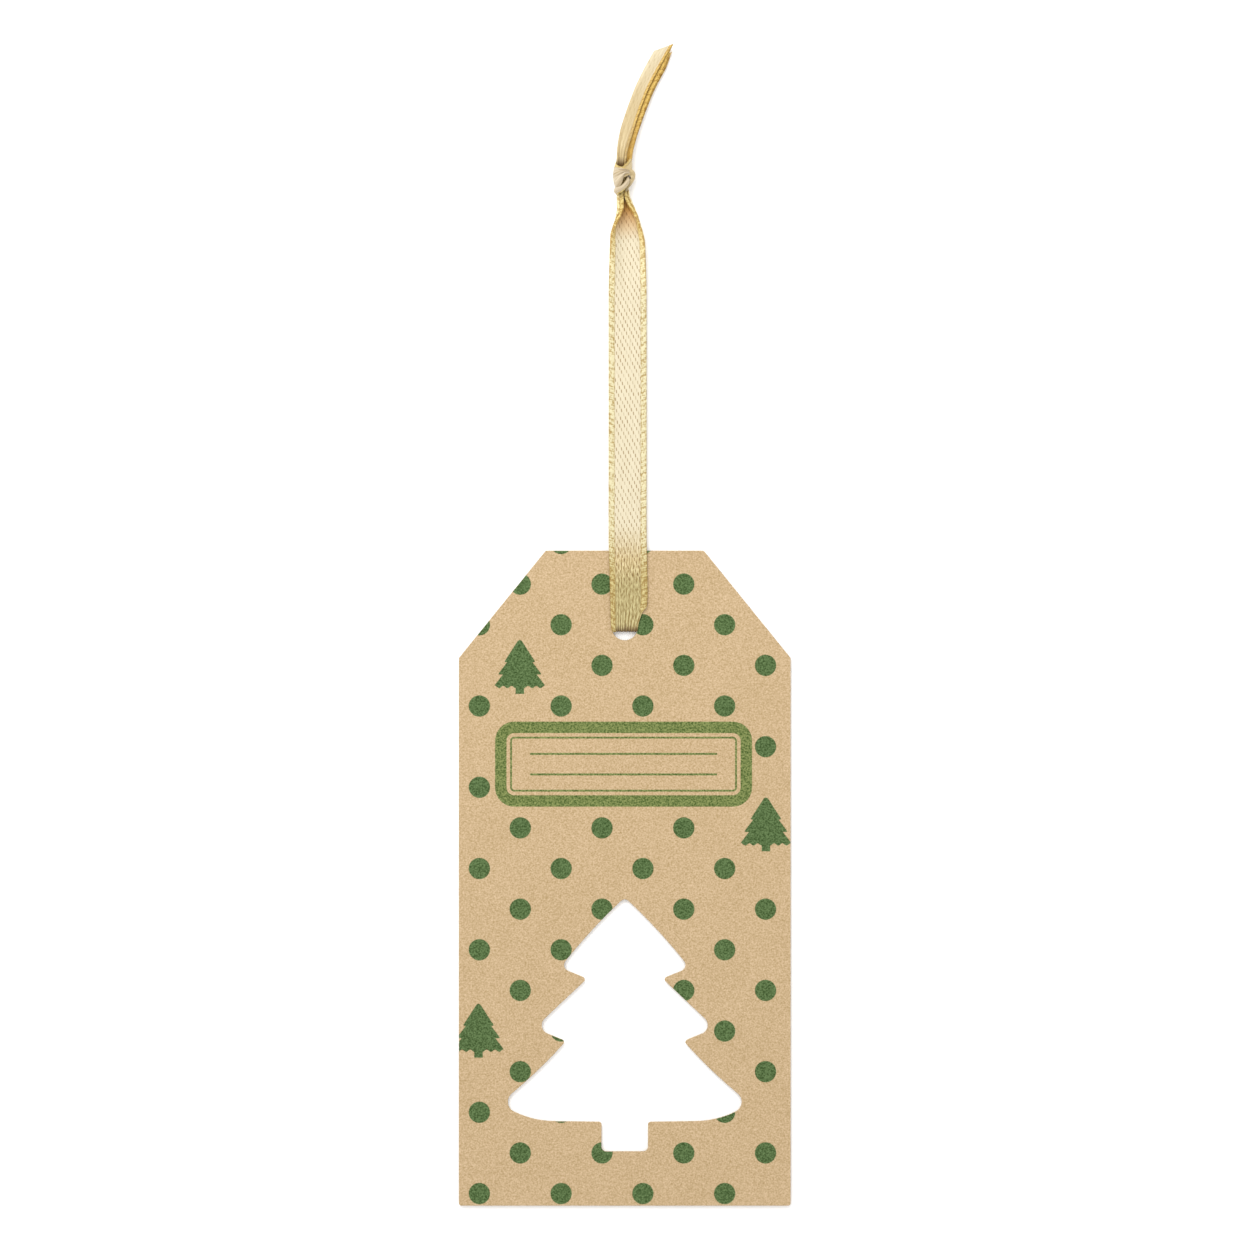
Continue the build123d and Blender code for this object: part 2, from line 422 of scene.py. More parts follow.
class GiftTagRibbonSettings(bpy.types.PropertyGroup):
    """Sizes and colours of the ribbon"""

    width: length("Width", "Width of the ribbon", 0.0063)
    field_thickness: length("Thickness", "Thickness of the satin", 0.00018)
    selvedge_thickness: length("Selvedge thickness", "Thickness of the looped edge", 0.00033)
    selvedge_width: length("Selvedge width", "Width of the looped edge", 0.00095)
    loop_step: length("Loop step", "Step of the loops along the edge", 0.00135)
    row_step: length("Row step", "Distance between rows of the mesh", 0.00015)
    satin: colour("Satin", "Cream of the satin", paint(249, 235, 200, 1.69))
    # Painted shade of the satin where it lies over the card
    shaded: colour("Over the card", "Satin where it lies over the card", paint(199, 180, 121, 1.70))
    # Painted shade fading out just past the card
    half_shaded: colour("Past the card", "Satin just past the card", paint(226, 201, 146, 1.70))
    # Painted shade in the fold at the hole, also used in the knot's hollows, on the elbow's lower part and
    # at the tails' root
    crease_shade: colour("Crease", "Satin in the fold at the hole", paint(112, 80, 30, 1.75))
    # Painted warm shade inside the curl below the knot
    throat_shade: colour("Throat", "Satin inside the curl below the knot", paint(230, 163, 48, 1.77))
    wrapped: colour("Knot", "Satin on the knot", paint(226, 205, 168, 1.74))
    tail: colour("Tail", "Satin of the tails", paint(228, 202, 148, 1.76))
    edge: colour("Edge", "Gold of the looped edges", paint(255, 244, 196, 1.65))
    reverse: colour("Reverse", "Dull gold of the ribbon's reverse", paint(214, 168, 80, 1.70))


class GiftTagStageSettings(bpy.types.PropertyGroup):
    """Camera, light and table"""

    view_width: length("View width", "Width of the picture on the table", 0.2074)
    camera_height: length("Camera height", "Height of the camera above the table", 1.0)
    camera_x: length("Camera across", "Place of the camera across the tag", 0.00004)
    camera_y: length("Camera along", "Place of the camera along the tag", 0.04197)
    sky: brightness("Sky", "Strength of the light from all round", 1.12)
    key: brightness("Key", "Power of the soft lamp", 1.24)
    floor: colour("Floor", "Colour of the table", (0.98, 0.98, 0.98, 1.0))


# Shader nodes

# Colour sockets of a Mix node share their names with its other sockets, so they go by number
MIX_FIRST = 6
MIX_SECOND = 7
MIX_RESULT = 2
NOISE_MIDDLE = 0.5


class Value:
    """A socket of a node tree. Arithmetic with it adds Math nodes to the tree."""

    def __init__(self, tree, socket):
        self.tree = tree
        self.socket = socket

    def __add__(self, other):
        return calc("ADD", self, other)

    def __sub__(self, other):
        return calc("SUBTRACT", self, other)

    def __rsub__(self, other):
        return calc("SUBTRACT", other, self)

    def __mul__(self, other):
        return calc("MULTIPLY", self, other)

    def __truediv__(self, other):
        return calc("DIVIDE", self, other)

    def __abs__(self):
        return calc("ABSOLUTE", self)


def feed(socket, value):
    """Links a socket to a value, or sets it to a plain number, vector or colour."""
    if isinstance(value, Value):
        value.tree.links.new(value.socket, socket)
    else:
        socket.default_value = value


def new_node(kind, *values):
    """A new node in the tree that the values are in, and that tree."""
    tree = next(value.tree for value in values if isinstance(value, Value))
    return tree.nodes.new(kind), tree


def calc(operation, *values):
    """Result of a Math node."""
    node, tree = new_node("ShaderNodeMath", *values)
    node.operation = operation
    for socket, value in zip(node.inputs, values):
        feed(socket, value)
    return Value(tree, node.outputs[0])


def diagonal(x, y):
    """Straight distance to a place that is given by two values."""
    return calc("SQRT", x * x + y * y)


def wave(turns):
    """Sine of a number of whole turns."""
    return calc("SINE", turns * (2 * math.pi))


def step(value, none, full):
    """Smooth step from 0 at one value to 1 at another, which may be the smaller one."""
    node, tree = new_node("ShaderNodeMapRange", value)
    node.interpolation_type = "SMOOTHSTEP"
    feed(node.inputs["Value"], value)
    feed(node.inputs["From Min"], none)
    feed(node.inputs["From Max"], full)
    return Value(tree, node.outputs["Result"])


def under(value, limit, soft=LINE_SOFT):
    """Mask of the places where a value is under a limit, with a soft border."""
    return step(value, limit + soft, limit - soft)


def scale_to(value, low, high):
    """A value of 0 to 1 spread from the low number to the high one."""
    node, tree = new_node("ShaderNodeMapRange", value)
    feed(node.inputs["Value"], value)
    feed(node.inputs["To Min"], low)
    feed(node.inputs["To Max"], high)
    return Value(tree, node.outputs["Result"])


def blend_colours(share, first, second, mode="MIX"):
    """Result of a colour Mix node."""
    node, tree = new_node("ShaderNodeMix", share, first, second)
    node.data_type = "RGBA"
    node.blend_type = mode
    feed(node.inputs[0], share)
    feed(node.inputs[MIX_FIRST], first)
    feed(node.inputs[MIX_SECOND], second)
    return Value(tree, node.outputs[MIX_RESULT])


def tinted(ground, tint, share=1.0):
    """A colour times a tint, by a share."""
    return blend_colours(share, ground, tint, "MULTIPLY")


def noise(place, scale=1.0, detail=2.0, stretch=(1.0, 1.0, 1.0)):
    """Noise of about 0 to 1 over a place in millimetres."""
    mapping, tree = new_node("ShaderNodeMapping", place)
    feed(mapping.inputs["Vector"], place)
    feed(mapping.inputs["Scale"], stretch)
    node = tree.nodes.new("ShaderNodeTexNoise")
    feed(node.inputs["Vector"], Value(tree, mapping.outputs[0]))
    feed(node.inputs["Scale"], scale)
    feed(node.inputs["Detail"], detail)
    return Value(tree, node.outputs[0])


def combine(x, y):
    """A flat vector from two values."""
    node, tree = new_node("ShaderNodeCombineXYZ", x, y)
    feed(node.inputs["X"], x)
    feed(node.inputs["Y"], y)
    return Value(tree, node.outputs[0])


def separate(place):
    """The three values of a vector."""
    node, tree = new_node("ShaderNodeSeparateXYZ", place)
    feed(node.inputs[0], place)
    return [Value(tree, socket) for socket in node.outputs]


def in_millimetres(place):
    """A vector in millimetres."""
    node, tree = new_node("ShaderNodeVectorMath", place)
    node.operation = "SCALE"
    feed(node.inputs[0], place)
    feed(node.inputs["Scale"], MILLIMETRES)
    return Value(tree, node.outputs[0])


def new_material(name):
    """A new material and its shader."""
    material = bpy.data.materials.new(name)
    material.use_nodes = True
    return material, material.node_tree.nodes["Principled BSDF"]


def add_bump(shader, height, strength, depth):
    """Gives a shader the relief of a height."""
    bump, tree = new_node("ShaderNodeBump", height)
    feed(bump.inputs["Strength"], strength)
    feed(bump.inputs["Distance"], depth)
    feed(bump.inputs["Height"], height)
    feed(shader.inputs["Normal"], Value(tree, bump.outputs["Normal"]))


def new_group(name, inputs, outputs):
    """A new shader node group, its inputs as values, and the sockets of its results."""
    group = bpy.data.node_groups.new(name, "ShaderNodeTree")
    for socket in inputs:
        group.interface.new_socket(socket, in_out="INPUT", socket_type="NodeSocketFloat")
    for socket in outputs:
        group.interface.new_socket(socket, in_out="OUTPUT", socket_type="NodeSocketFloat")
    entry = group.nodes.new("NodeGroupInput")
    values = [Value(group, entry.outputs[socket]) for socket in inputs]
    return group, values, group.nodes.new("NodeGroupOutput").inputs


def use_group(group, **values):
    """Places a node group, feeds its inputs by name, and gives its results by name."""
    node, tree = new_node("ShaderNodeGroup", *values.values())
    node.node_tree = group
    for name, value in values.items():
        feed(node.inputs[name.replace("_", " ").capitalize()], value)
    return {socket.name: Value(tree, socket) for socket in node.outputs}


# Print and board of the card


def rounded_depth(from_side, from_end, radius):
    """Depth inside an outline with rounded corners, from the depths inside its side and its end."""
    short_side = calc("MAXIMUM", radius - from_side, 0.0)
    short_end = calc("MAXIMUM", radius - from_end, 0.0)
    return radius - diagonal(short_side, short_end)


def fir_group():
    """Silhouette of a small fir tree in millimetres round its own middle: three tiers and a trunk."""
    group, (across, along), results = new_group("fir print", ("Across", "Along"), ("Mask",))
    across = abs(across)
    ripple = calc("COSINE", across * SCALLOP_RATE)
    mask = 0.0
    for top, foot, top_half, foot_half, scallop in FIR_TIERS:
        from_top = top - along
        from_foot = along - (ripple * scallop + foot)
        half = from_top * ((foot_half - top_half) / (top - foot)) + top_half
        from_side = (half - across) * FIR_SIDE_SLANT
        depth = rounded_depth(from_side, calc("MINIMUM", from_foot, from_top), FIR_ROUND)
        mask = calc("MAXIMUM", mask, step(depth, -LINE_SOFT, LINE_SOFT))
    over_foot = step(along, TRUNK_FOOT - LINE_SOFT, TRUNK_FOOT + LINE_SOFT)
    trunk = over_foot * under(along, TRUNK_TOP) * under(across, TRUNK_HALF)
    feed(results["Mask"], calc("MAXIMUM", mask, trunk))
    return group


def fir_print(across, along):
    """Mask of the small fir trees, and a mask of what is clear of them."""
    fir = fir_group()
    trees = 0.0
    clear = 1.0
    for fir_x, fir_y in FIR_PLACES:
        from_x = across - fir_x
        from_y = along - fir_y
        trees = calc("MAXIMUM", trees, use_group(fir, across=from_x, along=from_y)["Mask"])
        clear = step(calc("MAXIMUM", abs(from_x), abs(from_y)), *FIR_ROOM) * clear
    return trees, clear


def panel_print(across, along, settings):
    """Mask of the name panel's frame and writing rules, and a mask of what is clear of the panel."""
    from_x = abs(across - PANEL_PLACE[0])
    from_y = abs(along - PANEL_PLACE[1])
    from_side = settings.panel_width * MILLIMETRES / 2 - from_x
    from_end = settings.panel_height * MILLIMETRES / 2 - from_y
    depth = rounded_depth(from_side, from_end, PANEL_ROUND)
    mask = under(from_x, RULE_REACH) * under(abs(from_y - RULE_OFFSET), RULE_HALF)
    for line, half in PANEL_LINES:
        mask = calc("MAXIMUM", mask, under(abs(depth - line), half))
    return mask, step(depth, *PANEL_ROOM)


def off_lattice(value, start, pitch):
    """Distance from the nearest of evenly spaced lines."""
    share = (value - start) / pitch
    return (share - calc("ROUND", share)) * pitch


def dot_print(across, along, settings):
    """Mask of the dots."""
    pitch_across = settings.dot_step_across * MILLIMETRES
    pitch_along = settings.dot_step_along * MILLIMETRES
    radius = settings.dot_diameter * MILLIMETRES / 2
    mask = 0.0
    for stagger in DOT_STAGGERS:
        from_x = off_lattice(across, FIRST_DOT[0] + stagger * pitch_across, pitch_across)
        from_y = off_lattice(along, FIRST_DOT[1] + stagger * pitch_along, pitch_along)
        mask = calc("MAXIMUM", mask, under(diagonal(from_x, from_y), radius, DOT_SOFT))
    return mask


def kraft_material(settings):
    """Kraft board with green dots, three fir trees and a plain name panel printed on its face."""
    material, shader = new_material("printed_kraft")
    coords = material.node_tree.nodes.new("ShaderNodeTexCoord")
    place = in_millimetres(Value(material.node_tree, coords.outputs["Object"]))
    x, y, z = separate(place)

    # Fibres of the board
    speckle = noise(place, scale=3.8, detail=4.0)
    fibres = noise(place, scale=2.2, detail=3.0, stretch=(1.0, 2.2, 1.0))
    clouds = noise(place, scale=0.12)
    tone = scale_to(speckle, *BOARD_SPECKLE) + scale_to(fibres, *BOARD_FIBRES)
    tone += scale_to(clouds, *BOARD_CLOUDS)
    board = tinted(tuple(settings.board), blend_colours(tone, *BOARD_TINTS))

    # Ink bleeds a little, lies on the printed face alone, and lets the fibres through
    wander = scale_to(noise(place, scale=3.5), *INK_WANDER)
    across = x + wander
    along = y + wander
    trees, clear_of_trees = fir_print(across, along)
    panel, clear_of_panel = panel_print(across, along, settings)
    dots = dot_print(across, along, settings) * clear_of_trees * clear_of_panel
    lowest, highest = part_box("kraft_card")
    card_foot = lowest.z * MILLIMETRES
    card_top = highest.z * MILLIMETRES
    face = step(z, *[card_top - depth for depth in INK_DEPTH])
    ink_tone = scale_to(speckle, *INK_SPECKLE) + scale_to(fibres, *INK_FIBRES)
    mottle = blend_colours(ink_tone, *INK_TINTS)
    printed = blend_colours(panel * face * PALE_INK_COVER, board, tinted(tuple(settings.pale_ink), mottle))
    green = calc("MAXIMUM", dots, trees)
    printed = blend_colours(green * face * INK_COVER, printed, tinted(tuple(settings.ink), mottle))

    # Cut edges show the paler core of the board
    from_middle = abs(z - (card_top + card_foot) / 2)
    half_thickness = (card_top - card_foot) / 2
    cut = step(from_middle, *[half_thickness - depth for depth in CORE_DEPTH])
    feed(shader.inputs["Base Color"], blend_colours(cut, printed, tinted(board, CORE_TINT)))
    feed(shader.inputs["Roughness"], scale_to(speckle, *BOARD_ROUGHNESS))
    feed(shader.inputs["Specular IOR Level"], 0.25)
    add_bump(shader, speckle + fibres * FIBRE_HEIGHT, strength=0.25, depth=0.00006)
    return material


# Weave and colours of the ribbon


def weave_group():
    """Five-end satin weave in millimetres across and along the ribbon, with looped edges."""
    group, (across, along, half_width, selvedge, loop_step), results = new_group(
        "satin weave",
        ("Across", "Along", "Half width", "Selvedge", "Loop step"),
        ("Tick", "Thread", "Edge", "Edge tone", "Groove", "Height"),
    )

    # A thread is 1 along its middle and falls to 0 at its sides
    in_thread = calc("FRACT", across / THREAD_PITCH) * 2.0 - 1.0
    thread = 1.0 - in_thread * in_thread

    # Ticks
    row_place = (along - across * ROW_TILT) / ROW_PITCH
    row = calc("ROUND", row_place)
    in_row = row_place - row
    column_place = across / TICK_PITCH + row * ROW_SHIFT
    column = calc("ROUND", column_place)
    uneven = noise(combine(row, column), scale=1.7)
    in_column = column_place - column + scale_to(uneven, *TICK_WANDER)
    short = step(abs(in_row), *TICK_LENGTH)
    narrow = step(abs(in_column + in_row * TICK_LEAN), *TICK_WIDTH)
    tick = short * narrow * scale_to(uneven, *TICK_DARKNESS)

    # Loops, frayed, with painted shade at the rim where the rounded edge turns away, and a groove between
    # them and the satin
    from_edge = half_width - abs(across)
    edge = step(selvedge - from_edge, -EDGE_SOFT, EDGE_SOFT)
    slant = from_edge / selvedge
    wander = noise(combine(calc("SIGN", across), along), scale=0.7)
    turn = along / loop_step + slant * LOOP_SLANT + scale_to(wander, *LOOP_WANDER)
    frayed = noise(combine(across, along), detail=3.0, stretch=(4.6, 2.0, 1.0))
    edge_tone = wave(turn) * LOOP_TONE + wave(turn * LOOP_PLIES - slant) * PLY_TONE
    edge_tone += scale_to(frayed, *FRAY_TONE)
    edge_tone -= step(from_edge, *RIM_FADE) * RIM_SHADE
    groove = step(abs(from_edge - selvedge), *GROOVE_FADE) * scale_to(frayed, *GROOVE_FRAY)

    field_height = thread * THREAD_HEIGHT - tick * TICK_HEIGHT
    height = field_height * (1.0 - edge) + edge_tone * edge
    for name, value in (
        ("Tick", tick),
        ("Thread", thread),
        ("Edge", edge),
        ("Edge tone", edge_tone),
        ("Groove", groove),
        ("Height", height),
    ):
        feed(results[name], value)
    return group


def ribbon_ground(settings, place, face):
    """Colour of the plain satin at a place along the ribbon, with its painted shade."""
    node, tree = new_node("ShaderNodeValToRGB", place)
    feed(node.inputs[0], place / RIBBON_SPAN)
    while len(node.color_ramp.elements) < len(RIBBON_PLACES):
        node.color_ramp.elements.new(0.5)
    for stop, (from_fold, shade) in zip(node.color_ramp.elements, RIBBON_PLACES):
        stop.position = from_fold / RIBBON_SPAN
        stop.color = getattr(settings, shade) if face else settings.reverse
    return Value(tree, node.outputs[0])


def ribbon_material(name, settings, weave, face):
    """Satin with short dark ticks and looped gold edges, on its bright face or its dull reverse."""
    material, shader = new_material(name)
    coords = material.node_tree.nodes.new("ShaderNodeUVMap")
    coords.uv_map = "ribbon"
    across, along = separate(Value(material.node_tree, coords.outputs[0]))[:2]
    flat = combine(across, along)
    woven = use_group(
        weave,
        across=across,
        along=along,
        half_width=settings.width * MILLIMETRES / 2,
        selvedge=settings.selvedge_width * MILLIMETRES,
        loop_step=settings.loop_step * MILLIMETRES,
    )

    # The back half counts down from the fold, and its outer side below the knot stays plain satin, without
    # the throat's painted shade
    place = calc("MAXIMUM", along, calc("MINIMUM", along * -1.0, OUTSIDE_PLACE))
    near_fold = step(place, *NEAR_FOLD)
    over_card = step(place, *OVER_CARD)
    past_knot = step(place, *PAST_KNOT)

    # Streaks, pleats past the knot as painted light and shade, and threads that show over the card
    streaks = noise(flat, detail=3.0, stretch=(3.6, 0.16, 1.0))
    streak_and_pleat_shade = (streaks - NOISE_MIDDLE) * (over_card * CARD_STREAK_TONE + STREAK_TONE)
    # Pleats past the knot are painted as light and dark bands
    pleats = noise(flat, stretch=(1.6, 0.1, 1.0)) - NOISE_MIDDLE
    streak_and_pleat_shade += pleats * past_knot * (step(place, *PLEATS_END) * TAIL_PLEAT_SHADING + KNOT_PLEAT_SHADING)
    threads = (woven["Thread"] - THREAD_MEAN) * (near_fold * FOLD_THREAD_TONE + CARD_THREAD_TONE)
    threads += scale_to(noise(flat, stretch=(4.6, 1.2, 1.0)), *DASH_TONE)
    streak_and_pleat_shade += threads * over_card

    # Satin, with painted shade by place along it; near the fold the shade reaches up between the threads
    fringe = scale_to(streaks, *FOLD_FRINGE) * near_fold
    ground = ribbon_ground(settings, place + fringe, face)
    tick_share = 1.0 - step(place, *FAINT_TICKS) * FAINT_TICK_LOSS - past_knot * KNOT_TICK_LOSS
    field = tinted(ground, TICK_TINT, woven["Tick"] * tick_share)
    field = tinted(field, blend_colours(streak_and_pleat_shade + MIDDLE_TONE, *STREAK_TINTS))

    # Looped edges, with painted shade over the card and painted light where they curl up below the knot
    gold = tuple(settings.edge)
    for tint, share in (
        (EDGE_SHADE_TINT, step(place, *EDGE_SHADE_PLACES)),
        (CURL_LIGHT_TINT, step(place, *CURL_LIGHT_START) * step(place, *CURL_LIGHT_END)),
        (WARM_TINT, step(place, *WARM_EDGES)),
        (RICH_TINT, step(place, *RICH_EDGES)),
    ):
        gold = tinted(gold, tint, share)
    deep_gold = tinted(gold, DEEP_TINT)
    # Over the card the edges take painted shade
    edge = blend_colours(woven["Edge tone"] - over_card * CARD_EDGE_SHADE, deep_gold, gold)
    tail_root = step(place, *TAIL_ROOT) * step(place, *TAIL_ROOT_END)
    edge_share = woven["Edge"] * (1.0 - tail_root * TAIL_EDGE_LOSS)

    cloth = blend_colours(edge_share, field, edge)
    cloth = blend_colours(woven["Groove"] * GROOVE_STRENGTH, cloth, deep_gold)
    feed(shader.inputs["Base Color"], cloth)
    feed(shader.inputs["Roughness"], scale_to(woven["Tick"], *SATIN_ROUGHNESS))
    feed(shader.inputs["Specular IOR Level"], 0.4 if face else 0.2)
    feed(shader.inputs["Sheen Weight"], 0.15)
    feed(shader.inputs["Sheen Roughness"], 0.4)
    add_bump(shader, woven["Height"], strength=0.5, depth=0.00005)


def ribbon_materials(settings):
    """The ribbon's face and reverse, made once."""
    if "satin_face" not in bpy.data.materials:
        weave = weave_group()
        ribbon_material("satin_face", settings, weave, True)
        ribbon_material("satin_reverse", settings, weave, False)
    return bpy.data.materials["satin_face"], bpy.data.materials["satin_reverse"]


# Lines and tables


def line_points(route, row_step):
    """Points about one row step apart on the smooth line that has the route as its control points."""
    curve = bpy.data.curves.new("route", "CURVE")
    curve.dimensions = "3D"
    curve.resolution_u = LINE_RESOLUTION
    spline = curve.splines.new("NURBS")
    spline.points.add(len(route) - 1)
    for point, place in zip(spline.points, route):
        point.co = (*place, 1.0)
    spline.order_u = 3
    spline.use_endpoint_u = True
    holder = bpy.data.objects.new("route", curve)
    mesh = bpy.data.meshes.new_from_object(holder)
    points = [vertex.co.copy() for vertex in mesh.vertices]
    bpy.data.objects.remove(holder)
    bpy.data.meshes.remove(mesh)
    bpy.data.curves.remove(curve)
    kept = [points[0]]
    for point in points[1:-1]:
        if (point - kept[-1]).length >= row_step:
            kept.append(point)
    return kept + [points[-1]]


def distances(points):
    """Distance along a line at each of its points."""
    along = [0.0]
    for before, after in zip(points, points[1:]):
        along.append(along[-1] + (after - before).length)
    return along


def tangents(points):
    """Direction of a line at each of its points."""
    last = len(points) - 1
    return [(points[min(i + 1, last)] - points[max(i - 1, 0)]).normalized() for i in range(last + 1)]


def between(table, place):
    """Values at a place in a table whose rows start with a rising place."""
    if place <= table[0][0]:
        return table[0][1:]
    for before, after in zip(table, table[1:]):
        if place <= after[0]:
            share = (place - before[0]) / (after[0] - before[0])
            return tuple(a + share * (b - a) for a, b in zip(before[1:], after[1:]))
    return table[-1][1:]


def smooth(value, none, full):
    """Smooth step from 0 at one value to 1 at another, which may be the smaller one."""
    share = min(max((value - none) / (full - none), 0.0), 1.0)
    return share * share * (3 - 2 * share)


def gained(change, place):
    """What a change has gained at a place along the tag."""
    most, start, end = change
    return most * smooth(place, start, end)


# Sections of the ribbon: each gives a row's sideways place, height and place in the pattern


def leg_section(settings, points, front, front_points):
    """Cross-section of one half of the ribbon: gathered at the hole, flat, then curled below the knot."""
    half = settings.width / 2
    front_heights = [(point.y, point.z) for point in front_points]

    def section(across, row):
        x, y, z = points[row]
        if y < HOLE_EDGES[-1][0]:
            left, right = between(HOLE_EDGES, y)
            if (across > 0) == front:
                return across * (right - x), 0.0, across * (1 - gained(HOLE_TUCK, y))
            return across * (x - left), 0.0, across
        arc = math.radians(sum(gained(curl, y) for curl in NECK_CURL))
        if arc < FLAT_ARC:
            return across * half, 0.0, across
        width = settings.width * (1 + gained(NECK_FLARE, y) - gained(NECK_GATHER, y))
        lean = math.radians(gained(NECK_LEAN, y))
        (front_height,) = between(front_heights, y)
        nested = width / arc + front_height - z
        turned = across * width / nested / 2 + (lean if front else -lean)
        height = nested * (1 - math.cos(turned)) * (1 - gained(NECK_SQUASH, y))
        return nested * math.sin(turned), height if front else -height, across

    return section


def turn_section(widths, rows, crown, pleats):
    """Cross-section of a turn of the knot: crowned across, and pleated where it is gathered."""
    widest = max(width for place, width in widths)

    def section(across, row):
        (half,) = between(widths, row / (rows - 1))
        gathered = 1 - half / widest
        sag = -crown * half * across * across * (1 + abs(across))
        fold = TURN_PLEAT_HEIGHT * gathered * math.cos(pleats * math.pi * across) if pleats else 0.0
        return across * half, sag + fold, across * TURN_LOWER_EDGE if across > 0 else across

    return section


def tail_pleat(sideways, opened):
    """Height of a tail's pleats at a place across it, which flatten as it opens."""
    return TAIL_PLEAT_HEIGHT * (1 - opened) * math.cos(2 * math.pi * sideways / TAIL_PLEAT_STEP)


def folded_section(points, lip):
    """Cross-section of a tail: the ribbon folded lengthways, with its fold on the left."""
    upper = lip + TAIL_LEFT
    bend = math.pi * TAIL_FOLD_RADIUS
    whole = upper + bend + TAIL_LEFT + TAIL_RIGHT
    opening_start, opening_end = [points[0].y + distance for distance in TAIL_OPENING]

    def section(across, row):
        y = points[row].y
        opened = smooth(y, opening_start, opening_end)
        spread = TAIL_CLOSED_SHARE + (1 - TAIL_CLOSED_SHARE) * opened
        tip = 1 - gained(TAIL_TAPER, y)
        place = (1 - across) / 2 * whole
        pattern = across ** UPPER_PATTERN_POWER if across > 0 else -((-across) ** LOWER_PATTERN_POWER)
        if place < upper:
            sideways = lip - place
            return sideways * spread, TAIL_FOLD_RADIUS + tail_pleat(sideways, opened), pattern
        if place < upper + bend:
            turn = (place - upper) / TAIL_FOLD_RADIUS
            sideways = -TAIL_LEFT * spread - TAIL_FOLD_RADIUS * math.sin(turn)
            return sideways, TAIL_FOLD_RADIUS * math.cos(turn) + tail_pleat(TAIL_LEFT, opened), pattern
        sideways = place - upper - bend - TAIL_LEFT
        height = tail_pleat(sideways, opened) - TAIL_FOLD_RADIUS
        return sideways * (tip if sideways > 0 else spread), height, pattern

    return section


# Pieces


def new_piece(bm, name):
    """An object in the scene, made of a finished bmesh."""
    if not bm.faces:
        raise RuntimeError(f"{name} came out without faces")
    mesh = bpy.data.meshes.new(name)
    bm.to_mesh(mesh)
    bm.free()
    piece = bpy.data.objects.new(name, mesh)
    bpy.context.scene.collection.objects.link(piece)
    return piece


def ribbon_strip(settings, points, sides, section, start, sense=1.0):
    """A mesh strip of ribbon along a line that starts at a distance from the fold.

    A negative sense makes the pattern count down from the fold.
    """
    last_row = len(points) - 1
    along = distances(points)
    directions = tangents(points)
    half = settings.width / 2
    slim = settings.field_thickness / settings.selvedge_thickness
    bm = bmesh.new()
    texture = bm.loops.layers.uv.new("ribbon")
    weight = bm.verts.layers.deform.verify()
    bmesh.ops.create_grid(bm, x_segments=STRIP_COLUMNS, y_segments=last_row, size=1.0)
    texture_place = {}
    for vert in bm.verts:
        across = math.sin(vert.co.x * math.pi / 2)
        row = round((vert.co.y + 1) / 2 * last_row)
        sideways, height, pattern = section(across, row)
        up = sides[row].cross(directions[row])
        vert.co = points[row] + sides[row] * sideways + up * height
        distance = start + along[row]
        from_edge = half * (1 - abs(pattern))
        bead = smooth(settings.selvedge_width - from_edge, 0.0, settings.selvedge_width * BEAD_SHARE)
        lip = smooth(from_edge, *LIP_FADE)
        turn = distance / settings.loop_step + LOOP_SLANT * from_edge / settings.selvedge_width
        swell = 1 - LOOP_SWELL + LOOP_SWELL * math.sin(2 * math.pi * turn)
        vert[weight][0] = slim + (1 - slim) * bead * lip * swell
        texture_place[vert] = (pattern * half * MILLIMETRES, sense * distance * MILLIMETRES)
    for face in bm.faces:
        face.smooth = True
        for corner in face.loops:
            corner[texture].uv = texture_place[corner.vert]
    return bm


def finish_strip(bm, name, settings):
    """Turns a strip into an object with its two faces and its thickness."""
    piece = new_piece(bm, name)
    for material in ribbon_materials(settings):
        piece.data.materials.append(material)
    piece.vertex_groups.new(name="thickness")
    solid = piece.modifiers.new("thickness", "SOLIDIFY")
    solid.thickness = settings.selvedge_thickness
    solid.offset = 0.0
    solid.vertex_group = "thickness"
    solid.material_offset = 1
    split = piece.modifiers.new("crisp edges", "EDGE_SPLIT")
    split.split_angle = math.radians(CRISP_ANGLE)
    return piece


def leg_points(settings, front):
    """Points of one half of the ribbon, from the fold to the knot."""
    route = [(x, y, front_z if front else back_z) for x, y, front_z, back_z in LEG_ROUTE]
    return line_points(route, settings.row_step)


def build_leg(settings, side):
    """Lower and upper stretch of one half of the ribbon, each with its points and its length."""
    front = side == "front"
    sense = 1.0 if front else -1.0
    sideways = Vector((sense, 0.0, 0.0))
    front_points = leg_points(settings, True)
    points = leg_points(settings, front)
    along = distances(points)
    sides = []
    for direction in tangents(points):
        sides.append((sideways - direction * sideways.dot(direction)).normalized())
    seam = min(range(len(points)), key=lambda i: abs(points[i].y - SEAM_Y))
    stretches = []
    for stretch, first, last in (("lower", 0, seam), ("upper", seam, len(points) - 1)):
        rows = points[first:last + 1]
        section = leg_section(settings, rows, front, front_points)
        bm = ribbon_strip(settings, rows, sides[first:last + 1], section, along[first], sense)
        piece = finish_strip(bm, f"{side}_ribbon_{stretch}", settings)
        stretches.append((piece, rows, along[last] - along[first]))
    return stretches


